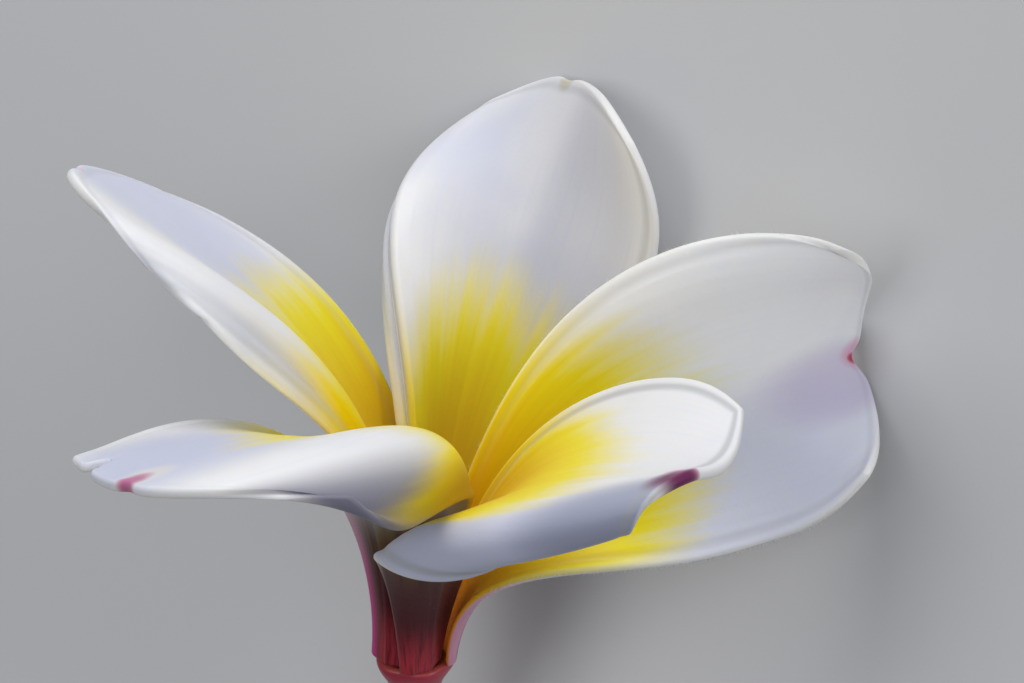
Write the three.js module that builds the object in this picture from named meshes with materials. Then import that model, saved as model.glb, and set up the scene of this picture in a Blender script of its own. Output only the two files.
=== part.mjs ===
// Plumeria (frangipani) flower, as picked: five waxy petals set like a pinwheel on a slender tube,
// with the calyx and a short cut stalk. It lies on its back. Millimetres, +Z up.
import * as THREE from 'three';

// Driving dimensions of the petals
const PETAL_HALF_WIDTH = 13.2;
const CLAW_SHARE = 0.17;
const WIDEST_AT = 0.8;
const SHOULDER_CURVE = 2.3;
const SHOULDER_FULLNESS = 1.6;
const NOTCH_FADE = 8;
const MIDRIB_THICKNESS = 0.84;
const MARGIN_THICKNESS = 0.62;
const CLAW_RING_RADIUS = 2.6;
const PETAL_FOOT = 0.3;

// Tube, calyx and stalk
const TUBE_LENGTH = 19;
const TUBE_RADIUS = 2.1;
const TUBE_WALL = 0.75;
const MOUTH_RADIUS = 3.2;
const MOUTH_LENGTH = 3.4;
const FLUTE_COUNT = 5;
const FLUTE_DEPTH = 0.1;
const FLUTE_TWIST = 0.16;
const CALYX_HEIGHT = 3.4;
const CALYX_RADIUS = 3.0;
const CALYX_WALL = 0.6;
const CALYX_LOBE_RISE = 0.6;
const STALK_RADIUS = 1.15;
const STALK_LENGTH = 7.5;
const SEAT_GAP = 0.3;

// The upright flower is tipped onto its back, then leans until three low points are down.
const TIP_BACK_DEG = -60;
const LEAN_X_DEG = 1;
const LEAN_Y_DEG = 28.22;

// Facets
const PETAL_ROWS = 24;
const PLAIN_HALF_CELLS = 6;
const FLAT_CELLS = 3;
const ROLL_CELLS = 6;
const END_CELLS = 2;
const NOTCH_STOPS = [-2, -1, 0, 1, 2];
const NOTCH_CLEARANCE = 2.5;
const SPINE_STEPS = 200;
const SECTION_STEPS = 60;
const TUBE_SIDES = 30;
const CALYX_SIDES = 40;
const STALK_SIDES = 14;

// Each petal's set. A list runs from the claw to the apex. Lift is the midrib's slope above level,
// heading its compass turn from the petal's own azimuth, bank the roll that raises the inner half.
// The inner half lies inside the next petal, the outer half laps round the petal before.
// Cup is how far a half curls up by its margin and turn how far its outer part rolls back, between
// `turnFrom` and `turnTo` of the half width. A notch in the end stands at a place across the petal,
// 0 on the midrib and below 0 on the outer half, with its depth and its spread across.
const PETALS = [
  {
    name: 'petal_1',
    azimuth: 147,
    length: 50.1,
    notches: [{ at: 0, depth: 0.4, spread: 0.1 }],
    lift: [94, 77, 36, 30],
    heading: [11, 32, 30, 13],
    bank: [24, 36, 15, 28],
    inner: {
      cup: [55, 76, 18, 53, -8],
      turn: [0, 174, 96, 11],
      turnFrom: 0.53,
      turnTo: 0.78,
      fullness: 2,
      shoulder: 0.24,
      width: 0.99,
    },
    outer: {
      cup: [51, 99, 53, 13, 8],
      turn: [0, 0, 0],
      turnFrom: 0.6,
      turnTo: 1,
      fullness: 0.75,
      shoulder: 0.15,
      width: 1.02,
    },
  },
  {
    name: 'petal_2',
    azimuth: 75,
    length: 47.9,
    notches: [{ at: 0, depth: 0.3, spread: 0.1 }],
    lift: [73, 48, 37, 43],
    heading: [0, -4, 0, -27],
    bank: [18, 66, 32, -23],
    inner: {
      cup: [51, 66, 17, -8, -3],
      turn: [0, 94, 189, 120],
      turnFrom: 0.59,
      turnTo: 1,
      fullness: 1.89,
      shoulder: 0.18,
      width: 0.92,
    },
    outer: {
      cup: [49, 41, 19, 22, 28],
      turn: [0, 0, 0],
      turnFrom: 0.61,
      turnTo: 1,
      fullness: 1.51,
      shoulder: 0.11,
      width: 0.99,
    },
  },
  {
    name: 'petal_3',
    azimuth: 3,
    length: 50,
    notches: [{ at: 0, depth: 2.4, spread: 0.12 }],
    lift: [84, 48, 23, -33],
    heading: [5, -29, -1, 61],
    bank: [21, 27, 102, 65],
    inner: {
      cup: [54, 48, 10, 3, 73],
      turn: [0, 23, 39, 70],
      turnFrom: 0.54,
      turnTo: 1,
      fullness: 1.64,
      shoulder: 0.15,
      width: 0.93,
    },
    outer: {
      cup: [53, 79, -7, -20, 68],
      turn: [0, 0, 0],
      turnFrom: 0.6,
      turnTo: 1,
      fullness: 0.99,
      shoulder: 0.14,
      width: 0.96,
    },
  },
  {
    name: 'petal_4',
    azimuth: -69,
    length: 51.5,
    notches: [{ at: 0, depth: 0.3, spread: 0.1 }],
    lift: [82, 47, 35, 18],
    heading: [3, -15, 17, 44],
    bank: [19, -5, 19, -28],
    inner: {
      cup: [54, 123, 36, 35, 43],
      turn: [0, 0, 11, 9],
      turnFrom: 0.6,
      turnTo: 1,
      fullness: 1.16,
      shoulder: 0.05,
      width: 1.01,
    },
    outer: {
      cup: [50, 115, 21, -42, -60],
      turn: [0, 0, 211, 208],
      turnFrom: 0.38,
      turnTo: 1,
      fullness: 1.44,
      shoulder: 0.16,
      width: 0.85,
    },
  },
  {
    name: 'petal_5',
    azimuth: -141,
    length: 53,
    notches: [{ at: 0, depth: 0.4, spread: 0.1 }, { at: -0.66, depth: 2.4, spread: 0.07 }],
    lift: [97, 65, 23, -2],
    heading: [8, 66, 15, -4],
    bank: [13, -14, 22, 22],
    inner: {
      cup: [57, 124, 74, 34, -17],
      turn: [0, 123, 181, 201, 8],
      turnFrom: 0.31,
      turnTo: 1,
      fullness: 1.39,
      shoulder: 0.17,
      width: 1.16,
    },
    outer: {
      cup: [53, 130, -14, -16, 5],
      turn: [0, 0, 0],
      turnFrom: 0.6,
      turnTo: 1,
      fullness: 2,
      shoulder: 0.05,
      width: 1.07,
    },
  },
];

const radians = THREE.MathUtils.degToRad;

/** Blend a list of control values along 0..1 as a Bezier curve. */
function blend(values, t) {
  let row = values;
  while (row.length > 1) {
    const next = [];
    for (let i = 0; i + 1 < row.length; i += 1) {
      next.push(row[i] * (1 - t) + row[i + 1] * t);
    }
    row = next;
  }
  return row[0];
}

/** Rise smoothly from 0 to 1. */
function ease(x) {
  const t = THREE.MathUtils.clamp(x, 0, 1);
  return t * t * (3 - 2 * t);
}

/** Half width of a petal's flat outline at a share u of its length. */
function halfWidth(half, u) {
  const fullness = u < WIDEST_AT ? half.fullness : SHOULDER_FULLNESS;
  const swell = Math.sin((Math.PI / 2) * (u / WIDEST_AT) ** fullness);
  return PETAL_HALF_WIDTH * (CLAW_SHARE + (half.width - CLAW_SHARE) * swell);
}

/** Share of the midrib's length that a point of the flat outline stands at. */
function lengthShare(petal, half, u, v) {
  const shoulder = half.shoulder * u * u * Math.abs(v) ** SHOULDER_CURVE;
  let cut = 0;
  for (const { at, depth, spread } of petal.notches) {
    cut += (depth / petal.length) * Math.exp(-(((v - at) / spread) ** 2));
  }
  return u * (1 - shoulder) - cut * u ** NOTCH_FADE;
}

/** Direction of the midrib, the way across it and the inner face's normal, at a share of length. */
function frameAt(petal, share) {
  const lift = radians(blend(petal.lift, share));
  const heading = radians(petal.azimuth + blend(petal.heading, share));
  const bank = radians(blend(petal.bank, share));
  const along = new THREE.Vector3(
    Math.cos(lift) * Math.cos(heading),
    Math.cos(lift) * Math.sin(heading),
    Math.sin(lift),
  );
  const level = new THREE.Vector3(-Math.sin(heading), Math.cos(heading), 0);
  const face = new THREE.Vector3().crossVectors(along, level);
  const across = level.clone().multiplyScalar(Math.cos(bank)).addScaledVector(face, Math.sin(bank));
  const normal = new THREE.Vector3().crossVectors(along, across);
  return { along, across, normal };
}

/** Points along a petal's midrib, evenly spaced, from the claw to the apex. */
function spineOf(petal) {
  const azimuth = radians(petal.azimuth);
  const point = new THREE.Vector3(
    CLAW_RING_RADIUS * Math.cos(azimuth),
    CLAW_RING_RADIUS * Math.sin(azimuth),
    PETAL_FOOT,
  );
  const step = petal.length / SPINE_STEPS;
  const points = [point.clone()];
  for (let i = 0; i < SPINE_STEPS; i += 1) {
    point.addScaledVector(frameAt(petal, (i + 0.5) / SPINE_STEPS).along, step);
    points.push(point.clone());
  }
  return points;
}

/** Point of the midrib at a share of its length. */
function spinePoint(spine, share) {
  const place = THREE.MathUtils.clamp(share, 0, 1) * SPINE_STEPS;
  const index = Math.min(Math.floor(place), SPINE_STEPS - 1);
  return spine[index].clone().lerp(spine[index + 1], place - index);
}

/** Reach and rise of one half's section, found by adding up its turning from the midrib out. */
function sectionPoint(half, u, across) {
  const cup = radians(blend(half.cup, u));
  const turn = radians(blend(half.turn, u));
  const step = across / SECTION_STEPS;
  let reach = 0;
  let rise = 0;
  for (let i = 0; i < SECTION_STEPS; i += 1) {
    const place = (i + 0.5) * step;
    const rolled = ease((place - half.turnFrom) / (half.turnTo - half.turnFrom));
    const angle = cup * place - turn * rolled;
    reach += Math.cos(angle) * step;
    rise += Math.sin(angle) * step;
  }
  const width = halfWidth(half, u);
  return { reach: reach * width, rise: rise * width };
}

/** Point of a petal's middle surface; v runs from -1 at the outer margin to 1 at the inner one. */
function petalPoint(petal, spine, u, v) {
  const half = v < 0 ? petal.outer : petal.inner;
  const across = Math.abs(v);
  const share = lengthShare(petal, half, u, v);
  const frame = frameAt(petal, share);
  const section = sectionPoint(half, u, across);
  return spinePoint(spine, share)
    .addScaledVector(frame.across, Math.sign(v) * section.reach)
    .addScaledVector(frame.normal, section.rise);
}

/** Where the columns of a half's facets stand, from the midrib to the margin. */
function columnsOf(half) {
  const stops = [];
  const divide = (from, to, cells) => {
    for (let i = 1; i <= cells; i += 1) {
      stops.push(from + ((to - from) * i) / cells);
    }
  };
  if (Math.max(...half.turn) === 0) {
    divide(0, 1, PLAIN_HALF_CELLS);
    return stops;
  }
  divide(0, half.turnFrom, FLAT_CELLS);
  divide(half.turnFrom, half.turnTo, ROLL_CELLS);
  if (half.turnTo < 1) {
    divide(half.turnTo, 1, END_CELLS);
  }
  return stops;
}

/** Where the columns of a petal's facets stand, crowded together at each notch. */
function placesAcross(petal) {
  const outer = columnsOf(petal.outer).reverse().map((v) => -v);
  let places = [...outer, 0, ...columnsOf(petal.inner)];
  for (const { at, spread } of petal.notches) {
    places = places.filter((v) => Math.abs(v - at) > NOTCH_CLEARANCE * spread);
    places.push(...NOTCH_STOPS.map((stop) => at + stop * spread));
  }
  return places.sort((a, b) => a - b);
}

/** Closed solid between two grids of points that have the same rows and columns. */
function closedBlade(upper, lower) {
  const rows = upper.length;
  const columns = upper[0].length;
  const positions = [];
  for (const grid of [upper, lower]) {
    for (const row of grid) {
      for (const point of row) {
        positions.push(point.x, point.y, point.z);
      }
    }
  }
  const at = (row, column) => row * columns + column;
  const under = rows * columns;
  const index = [];
  for (let i = 0; i + 1 < rows; i += 1) {
    for (let j = 0; j + 1 < columns; j += 1) {
      const a = at(i, j);
      const b = at(i + 1, j);
      const c = at(i + 1, j + 1);
      const d = at(i, j + 1);
      index.push(a, b, c, a, c, d);
      index.push(under + a, under + c, under + b, under + a, under + d, under + c);
    }
  }
  const rim = [];
  for (let i = 0; i < rows; i += 1) {
    rim.push(at(i, 0));
  }
  for (let j = 1; j < columns; j += 1) {
    rim.push(at(rows - 1, j));
  }
  for (let i = rows - 2; i >= 0; i -= 1) {
    rim.push(at(i, columns - 1));
  }
  for (let j = columns - 2; j > 0; j -= 1) {
    rim.push(at(0, j));
  }
  rim.forEach((from, i) => {
    const to = rim[(i + 1) % rim.length];
    index.push(from, under + to, to, from, under + from, under + to);
  });
  return meshGeometry(positions, index);
}

/** Geometry from plain lists of coordinates and triangle corners. */
function meshGeometry(positions, index) {
  const geometry = new THREE.BufferGeometry();
  geometry.setAttribute('position', new THREE.Float32BufferAttribute(positions, 3));
  geometry.setIndex(index);
  geometry.computeVertexNormals();
  return geometry;
}

/** Petal solid: the middle surface thickened to both sides. */
function petalGeometry(petal) {
  const spine = spineOf(petal);
  const across = placesAcross(petal);
  const nudge = 1e-3;
  const upper = [];
  const lower = [];
  for (let i = 0; i <= PETAL_ROWS; i += 1) {
    const u = i / PETAL_ROWS;
    const upperRow = [];
    const lowerRow = [];
    for (const v of across) {
      const middle = petalPoint(petal, spine, u, v);
      const uStep = u > 0.5 ? -nudge : nudge;
      const vStep = v > 0 ? -nudge : nudge;
      const alongPetal = petalPoint(petal, spine, u + uStep, v).sub(middle).divideScalar(uStep);
      const acrossPetal = petalPoint(petal, spine, u, v + vStep).sub(middle).divideScalar(vStep);
      const normal = alongPetal.cross(acrossPetal).normalize();
      const half = 0.5 * THREE.MathUtils.lerp(MIDRIB_THICKNESS, MARGIN_THICKNESS, v * v);
      upperRow.push(middle.clone().addScaledVector(normal, half));
      lowerRow.push(middle.clone().addScaledVector(normal, -half));
    }
    upper.push(upperRow);
    lower.push(lowerRow);
  }
  return closedBlade(upper, lower);
}

/** Closed ring swept from a closed profile of [radius, height] pairs, run up the outside first. */
function ringGeometry(profile, sides, shape) {
  const positions = [];
  const index = [];
  for (let i = 0; i < sides; i += 1) {
    const turn = (2 * Math.PI * i) / sides;
    for (const [radius, height] of profile) {
      const [r, z] = shape(radius, height, turn);
      positions.push(r * Math.cos(turn), r * Math.sin(turn), z);
    }
  }
  const count = profile.length;
  for (let i = 0; i < sides; i += 1) {
    const next = (i + 1) % sides;
    for (let j = 0; j < count; j += 1) {
      const up = (j + 1) % count;
      const a = i * count + j;
      const b = next * count + j;
      const c = next * count + up;
      const d = i * count + up;
      index.push(a, b, c, a, c, d);
    }
  }
  return meshGeometry(positions, index);
}

/** Outer radius of the tube at a depth below its mouth. */
function tubeRadius(depth) {
  const flare = ease(1 - depth / MOUTH_LENGTH) ** 1.4;
  return TUBE_RADIUS + (MOUTH_RADIUS - TUBE_RADIUS) * flare;
}

/** Slender tube, fluted where the petals' edges run down it in a slow twist. */
function tubeGeometry() {
  const depths = [TUBE_LENGTH];
  for (let depth = TUBE_LENGTH - 2.5; depth > MOUTH_LENGTH; depth -= 2.5) {
    depths.push(depth);
  }
  for (let i = 4; i >= 0; i -= 1) {
    depths.push((MOUTH_LENGTH * i) / 4);
  }
  const outside = depths.map((depth) => [tubeRadius(depth), -depth]);
  const inside = depths.map((depth) => [tubeRadius(depth) - TUBE_WALL, -depth]).reverse();
  return ringGeometry([...outside, ...inside], TUBE_SIDES, (radius, height, turn) => {
    const flute = FLUTE_DEPTH * Math.cos(FLUTE_COUNT * (turn + FLUTE_TWIST * height));
    const onOutside = radius > TUBE_RADIUS - TUBE_WALL / 2 && radius > tubeRadius(-height) - 0.01;
    return [onOutside ? radius + flute : radius, height];
  });
}

/** Calyx: a small cup with five blunt lobes, floor included, turned about the axis. */
function calyxGeometry() {
  const foot = -TUBE_LENGTH - SEAT_GAP - CALYX_WALL;
  const rim = foot + CALYX_HEIGHT;
  const bore = TUBE_RADIUS + FLUTE_DEPTH + SEAT_GAP;
  const profile = [
    [0, foot],
    [CALYX_RADIUS * 0.72, foot],
    [CALYX_RADIUS, foot + 0.9],
    [CALYX_RADIUS, foot + 1.9],
    [bore + 0.35, rim],
    [bore, rim],
    [bore, foot + 1.9],
    [bore, foot + CALYX_WALL],
    [0, foot + CALYX_WALL],
  ];
  const positions = [];
  const index = [];
  const count = profile.length - 2;
  for (let i = 0; i < CALYX_SIDES; i += 1) {
    const turn = (2 * Math.PI * i) / CALYX_SIDES;
    const lobe = CALYX_LOBE_RISE * Math.cos(FLUTE_COUNT * turn);
    for (const [radius, height] of profile.slice(1, -1)) {
      const z = height === rim ? height + lobe : height;
      positions.push(radius * Math.cos(turn), radius * Math.sin(turn), z);
    }
  }
  const bottom = positions.length / 3;
  positions.push(0, 0, foot, 0, 0, foot + CALYX_WALL);
  for (let i = 0; i < CALYX_SIDES; i += 1) {
    const here = i * count;
    const there = ((i + 1) % CALYX_SIDES) * count;
    index.push(bottom, there, here);
    index.push(bottom + 1, here + count - 1, there + count - 1);
    for (let j = 0; j + 1 < count; j += 1) {
      index.push(here + j, there + j, there + j + 1, here + j, there + j + 1, here + j + 1);
    }
  }
  return meshGeometry(positions, index);
}

/** Short stalk, a little wider where it meets the calyx, cut off square. */
function stalkGeometry() {
  const top = -TUBE_LENGTH - 2 * SEAT_GAP - CALYX_WALL;
  const profile = [
    new THREE.Vector2(0, top - STALK_LENGTH),
    new THREE.Vector2(STALK_RADIUS, top - STALK_LENGTH),
    new THREE.Vector2(STALK_RADIUS * 0.94, top - STALK_LENGTH * 0.5),
    new THREE.Vector2(STALK_RADIUS * 1.15, top - 1.2),
    new THREE.Vector2(STALK_RADIUS * 1.5, top),
    new THREE.Vector2(0, top),
  ];
  return new THREE.LatheGeometry(profile, STALK_SIDES).rotateX(Math.PI / 2);
}

/** One named mesh with its own finish. */
function piece(name, geometry, color, roughness) {
  const material = new THREE.MeshStandardMaterial({ color, roughness, metalness: 0 });
  const mesh = new THREE.Mesh(geometry, material);
  mesh.name = name;
  return mesh;
}

const flower = new THREE.Group();
for (const petal of PETALS) {
  flower.add(piece(petal.name, petalGeometry(petal), 0xf3f1ea, 0.45));
}
flower.add(piece('corolla_tube', tubeGeometry(), 0xb4485a, 0.5));
flower.add(piece('calyx', calyxGeometry(), 0x6f8f3c, 0.55));
flower.add(piece('pedicel', stalkGeometry(), 0x7d9a45, 0.55));
flower.rotation.x = radians(TIP_BACK_DEG);

const lying = new THREE.Group();
lying.add(flower);
lying.rotation.set(radians(LEAN_X_DEG), radians(LEAN_Y_DEG), 0);

const part = new THREE.Group();
part.add(lying);
part.updateMatrixWorld(true);
const reach = new THREE.Box3().setFromObject(part, true);
lying.position.set(
  -0.5 * (reach.min.x + reach.max.x),
  -0.5 * (reach.min.y + reach.max.y),
  -reach.min.z,
);

export default part;
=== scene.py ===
"""Plumeria blossom lying on its back: waxy petals in a pinwheel, tube, calyx and cut stalk."""
import logging
import math
from dataclasses import dataclass
from enum import Enum
from typing import Optional, Sequence, Union

import bpy
import numpy as np
from mathutils import Matrix, Vector


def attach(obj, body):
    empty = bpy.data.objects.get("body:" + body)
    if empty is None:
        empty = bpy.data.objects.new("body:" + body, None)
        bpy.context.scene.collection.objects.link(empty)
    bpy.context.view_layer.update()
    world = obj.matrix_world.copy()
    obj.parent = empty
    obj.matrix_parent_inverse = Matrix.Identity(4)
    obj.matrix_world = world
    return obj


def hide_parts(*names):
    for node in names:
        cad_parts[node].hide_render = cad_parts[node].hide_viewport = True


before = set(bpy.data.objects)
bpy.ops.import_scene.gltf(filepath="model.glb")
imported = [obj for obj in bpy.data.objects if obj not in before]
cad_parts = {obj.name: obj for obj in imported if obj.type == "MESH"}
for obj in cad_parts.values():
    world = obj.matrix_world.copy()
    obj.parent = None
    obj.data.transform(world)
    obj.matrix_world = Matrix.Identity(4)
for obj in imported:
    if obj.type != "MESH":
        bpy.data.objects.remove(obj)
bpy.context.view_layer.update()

LOG = logging.getLogger("plumeria")

Array = np.ndarray
Socket = bpy.types.NodeSocket
Value = Union[float, Socket]
Colour = tuple[float, float, float]
Point = tuple[float, float, float]
Tone = Union[Colour, Socket]
Inputs = dict[Union[str, int], Union[Value, Colour]]

METRES = 0.001
BODY = "root"
SPECK_SCALE = 2600.0
SHEEN = 0.05

# Petal outline and blade: millimetres, shares of the length or width, and powers
PETAL_HALF_WIDTH = 13.2
CLAW_SHARE = 0.17
WIDEST_AT = 0.8
SHOULDER_CURVE = 2.3
SHOULDER_FULLNESS = 1.6
NOTCH_FADE = 8
MIDRIB_THICKNESS = 0.84
MARGIN_THICKNESS = 0.62
CLAW_RING_RADIUS = 2.6
PETAL_FOOT = 0.3
RIM_RADIUS = 0.31
SPINE_STEPS = 200
SECTION_STEPS = 60

# Tube, calyx and stalk: millimetres, and radians per millimetre for the twist
TUBE_LENGTH = 19.0
TUBE_RADIUS = 2.1
TUBE_WALL = 0.75
MOUTH_RADIUS = 3.2
MOUTH_LENGTH = 3.4
FLUTE_COUNT = 5
FLUTE_DEPTH = 0.1
FLUTE_TWIST = 0.16
CALYX_HEIGHT = 3.4
CALYX_RADIUS = 3.0
CALYX_WALL = 0.6
CALYX_LOBE_RISE = 0.6
STALK_RADIUS = 1.15
STALK_LENGTH = 7.5
SEAT_GAP = 0.3


def bezier(values: Sequence[float], t: Array) -> Array:
    """Blend control values along 0..1 by repeated straight blending of neighbours."""
    row = [np.full_like(t, value, dtype=float) for value in values]
    while len(row) > 1:
        row = [a * (1 - t) + b * t for a, b in zip(row, row[1:])]
    return row[0]


def ease(x: Array) -> Array:
    """Rise smoothly from 0 to 1: three x squared minus two x cubed."""
    t = np.clip(x, 0.0, 1.0)
    return t * t * (3 - 2 * t)


def unit(vectors: Array) -> Array:
    """Vectors divided by their lengths."""
    return vectors / (np.linalg.norm(vectors, axis=-1, keepdims=True) + 1e-12)


class Side(Enum):
    """The halves of a petal; the value is the sign of the place across it."""

    INNER = 1
    OUTER = -1


@dataclass(frozen=True)
class HalfShape:
    """One half of a petal: how it curls up, rolls back and fills out."""

    cup: Sequence[float]
    fullness: float
    shoulder: float
    width: float
    turn: Sequence[float] = (0,)
    turn_from: float = 0.6
    turn_to: float = 1.0


@dataclass(frozen=True)
class Notch:
    """A nick in a petal's end: its place across, depth in millimetres and spread across."""

    at: float
    depth: float
    spread: float


@dataclass(frozen=True)
class PetalShape:
    """The set of one petal; the lists run from the claw to the apex, in degrees."""

    name: str
    azimuth: float
    length: float
    notches: Sequence[Notch]
    lift: Sequence[float]
    heading: Sequence[float]
    bank: Sequence[float]
    inner: HalfShape
    outer: HalfShape

    def half(self, side: Side) -> HalfShape:
        """The half on one side of the midrib."""
        return self.inner if side is Side.INNER else self.outer


@dataclass(frozen=True)
class LyingPose:
    """How the upright flower is tipped on its back and leans on three low points."""

    tip_back: float = -60.0
    lean_x: float = 1.0
    lean_y: float = 28.22
    shift: Sequence[float] = (-10.9659, -11.4681, 13.6380)

    def matrix(self) -> Matrix:
        """Turn and shift, in millimetres, from the upright flower to the surface."""
        turn = (
            Matrix.Rotation(math.radians(self.lean_x), 4, "X")
            @ Matrix.Rotation(math.radians(self.lean_y), 4, "Y")
            @ Matrix.Rotation(math.radians(self.tip_back), 4, "X")
        )
        return Matrix.Translation(Vector(self.shift)) @ turn

    def place(self, points: Array) -> Array:
        """Points of the upright flower, in millimetres, laid down, in metres."""
        matrix = np.array(self.matrix())
        return (points @ matrix[:3, :3].T + matrix[:3, 3]) * METRES


@dataclass(frozen=True)
class PetalSurface:
    """Middle surface of one petal, in millimetres in the upright flower."""

    shape: PetalShape

    def half_width(self, side: Side, u: Array) -> Array:
        """Half width of the flat outline at a share u of the length.

        The claw's share, plus a quarter sine wave of u over the widest place, raised to the
        half's fullness, that swells to the half's full width.
        """
        half = self.shape.half(side)
        ratio = np.clip(u, 0.0, 1.0) / WIDEST_AT
        power = np.where(u < WIDEST_AT, half.fullness, SHOULDER_FULLNESS)
        swell = np.sin(0.5 * np.pi * ratio**power)
        return PETAL_HALF_WIDTH * (CLAW_SHARE + (half.width - CLAW_SHARE) * swell)

    def length_share(self, side: Side, u: Array, across: Array) -> Array:
        """Share of the midrib's length that a point of the flat outline stands at.

        The shoulder rounds the corners off with u squared times a power of the place across,
        and a bell curve across the end, fading down the petal, cuts each notch.
        """
        shoulder = self.shape.half(side).shoulder * u * u * across**SHOULDER_CURVE
        v = across if side is Side.INNER else -across
        cut = sum(
            notch.depth / self.shape.length * np.exp(-(((v - notch.at) / notch.spread) ** 2))
            for notch in self.shape.notches
        )
        return u * (1 - shoulder) - cut * np.clip(u, 0.0, 1.0) ** NOTCH_FADE

    def frame_at(self, share: Array) -> tuple[Array, Array, Array]:
        """Direction of the midrib, the way across it and the inner face's normal."""
        lift = np.radians(bezier(self.shape.lift, share))
        heading = np.radians(self.shape.azimuth + bezier(self.shape.heading, share))
        bank = np.radians(bezier(self.shape.bank, share))[..., None]
        flat = np.cos(lift)
        along = np.stack([flat * np.cos(heading), flat * np.sin(heading), np.sin(lift)], -1)
        level = np.stack([-np.sin(heading), np.cos(heading), np.zeros_like(heading)], -1)
        face = np.cross(along, level)
        across = level * np.cos(bank) + face * np.sin(bank)
        return along, across, np.cross(along, across)

    def spine(self, share: Array) -> Array:
        """Points of the midrib: its direction added up in small steps from the claw ring."""
        azimuth = math.radians(self.shape.azimuth)
        foot = (
            CLAW_RING_RADIUS * math.cos(azimuth),
            CLAW_RING_RADIUS * math.sin(azimuth),
            PETAL_FOOT,
        )
        step = self.shape.length / SPINE_STEPS
        middles = (np.arange(SPINE_STEPS) + 0.5) / SPINE_STEPS
        run = np.cumsum(self.frame_at(middles)[0] * step, axis=0)
        line = np.vstack([foot, np.array(foot) + run])
        places = np.linspace(0.0, 1.0, SPINE_STEPS + 1)
        return np.stack([np.interp(share, places, line[:, axis]) for axis in range(3)], -1)

    def section(self, side: Side, u: Array, across: Array) -> tuple[Array, Array]:
        """Reach and rise of a half's section, in millimetres.

        The section turns up in proportion to the place across and rolls back between the
        places where the turn starts and ends; the cosine and sine of that slope are added up
        in even steps.
        """
        half = self.shape.half(side)
        cup = np.radians(bezier(half.cup, u))
        turn = np.radians(bezier(half.turn, u))
        step = across / SECTION_STEPS
        reach = np.zeros_like(u)
        rise = np.zeros_like(u)
        for index in range(SECTION_STEPS):
            place = (index + 0.5) * step
            rolled = ease((place - half.turn_from) / (half.turn_to - half.turn_from))
            slope = cup * place - turn * rolled
            reach += np.cos(slope) * step
            rise += np.sin(slope) * step
        width = self.half_width(side, u)
        return reach * width, rise * width

    def points(self, u: Array, v: Array) -> Array:
        """Points at shares u of the length and places v across, -1 at the outer margin.

        Args:
            u: Shares of the length, 0 at the claw and 1 at the apex.
            v: Places across, of the same shape.

        Returns:
            Array of that shape with x, y and z last.
        """
        made = {}
        for side in Side:
            across = np.abs(v)
            share = self.length_share(side, u, across)
            _, sideways, normal = self.frame_at(share)
            reach, rise = self.section(side, u, across)
            made[side] = (
                self.spine(share)
                + sideways * (side.value * reach)[..., None]
                + normal * rise[..., None]
            )
        return np.where((v < 0)[..., None], made[Side.OUTER], made[Side.INNER])


def grid_normals(points: Array) -> Array:
    """Unit normals of a grid: the cross product of its row and column differences."""
    return unit(np.cross(np.gradient(points, axis=0), np.gradient(points, axis=1)))


def make_object(
    name: str,
    points: Array,
    faces: Sequence[Array],
    vectors: Optional[dict[str, Array]] = None,
    plane: Optional[Array] = None,
) -> bpy.types.Object:
    """Mesh object from whole arrays.

    Args:
        name: Object and mesh name.
        points: Vertex places in metres, one row each.
        faces: Arrays of corner indices, one array for each number of corners.
        vectors: Named vector attributes on the vertices.
        plane: Flat coordinates of each vertex for the UV map.

    Returns:
        The new object, linked to the scene, at the origin.
    """
    mesh = bpy.data.meshes.new(name)
    corners = np.concatenate([part.ravel() for part in faces]).astype(np.int32)
    totals = np.concatenate([np.full(len(part), part.shape[1]) for part in faces])
    starts = np.concatenate([[0], np.cumsum(totals)[:-1]]).astype(np.int32)
    mesh.vertices.add(len(points))
    mesh.vertices.foreach_set("co", points.astype(np.float32).ravel())
    mesh.loops.add(len(corners))
    mesh.loops.foreach_set("vertex_index", corners)
    mesh.polygons.add(len(starts))
    mesh.polygons.foreach_set("loop_start", starts)
    mesh.update(calc_edges=True)
    mesh.polygons.foreach_set("use_smooth", np.ones(len(starts), dtype=bool))
    for key, values in (vectors or {}).items():
        attribute = mesh.attributes.new(key, "FLOAT_VECTOR", "POINT")
        attribute.data.foreach_set("vector", values.astype(np.float32).ravel())
    if plane is not None:
        layer = mesh.uv_layers.new(name="surface")
        layer.data.foreach_set("uv", plane[corners].astype(np.float32).ravel())
    mesh.validate()
    made = bpy.data.objects.new(name, mesh)
    bpy.context.scene.collection.objects.link(made)
    return made


def grid_faces(index: Array, flip: bool = False) -> Array:
    """Four-cornered faces between neighbouring rows and columns of an index grid."""
    a, b = index[:-1, :-1], index[1:, :-1]
    c, d = index[1:, 1:], index[:-1, 1:]
    order = (a, d, c, b) if flip else (a, b, c, d)
    return np.stack(order, -1).reshape(-1, 4)


def ring_grid(rings: int, sides: int) -> Array:
    """Index grid of rings of vertices, closed round by repeating its first column."""
    index = np.arange(rings * sides).reshape(rings, sides)
    return np.concatenate([index, index[:, :1]], axis=1)


def round_angles(sides: int) -> Array:
    """Even angles round a full turn."""
    return np.linspace(0.0, 2 * np.pi, sides, endpoint=False)


def end_caps(index: Array) -> list[Array]:
    """One face over each end ring of an index grid, facing out."""
    return [index[:1, :-1], index[-1:, :-1][:, ::-1]]


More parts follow.
